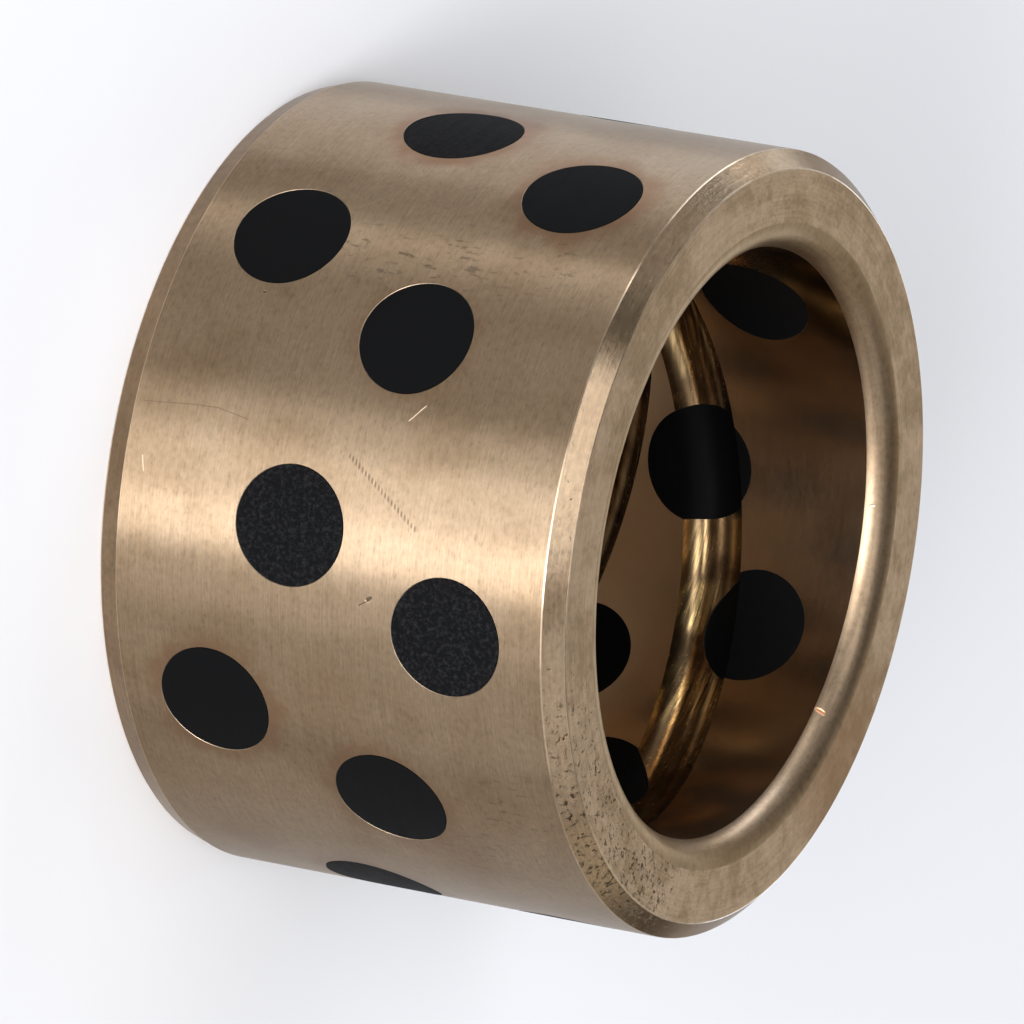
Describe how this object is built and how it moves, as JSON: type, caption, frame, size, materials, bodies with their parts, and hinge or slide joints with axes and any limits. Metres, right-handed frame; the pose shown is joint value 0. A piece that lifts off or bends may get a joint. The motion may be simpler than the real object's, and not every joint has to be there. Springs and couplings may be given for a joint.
{
  "type": "graphite plugged bushing",
  "caption": "Plain bronze bearing bush with rows of flush graphite plugs through its wall, a figure-eight grease groove in the bore and a chamfered press-in outside.",
  "frame": {"origin": "centre of the end face that is pressed in first, on the sleeve's axis", "axes": "+Z along the bore axis from the pressed-in end to the pushed end; +X through the first plug of the second ring from the pressed-in end"},
  "size_m": [0.08, 0.08, 0.052],
  "materials": {
    "bronze": "machined, satin",
    "graphite": "machined, dull"
  },
  "bodies": {
    "root": {"bronze_sleeve": "bronze", "graphite_plug_1_1": "graphite", "graphite_plug_1_2": "graphite", "graphite_plug_1_3": "graphite", "graphite_plug_1_4": "graphite", "graphite_plug_1_5": "graphite", "graphite_plug_2_1": "graphite", "graphite_plug_2_2": "graphite", "graphite_plug_2_3": "graphite", "graphite_plug_2_4": "graphite", "graphite_plug_2_5": "graphite", "graphite_plug_3_1": "graphite", "graphite_plug_3_2": "graphite", "graphite_plug_3_3": "graphite", "graphite_plug_3_4": "graphite", "graphite_plug_3_5": "graphite", "graphite_plug_4_1": "graphite", "graphite_plug_4_2": "graphite", "graphite_plug_4_3": "graphite", "graphite_plug_4_4": "graphite", "graphite_plug_4_5": "graphite"}
  },
  "joints": []
}
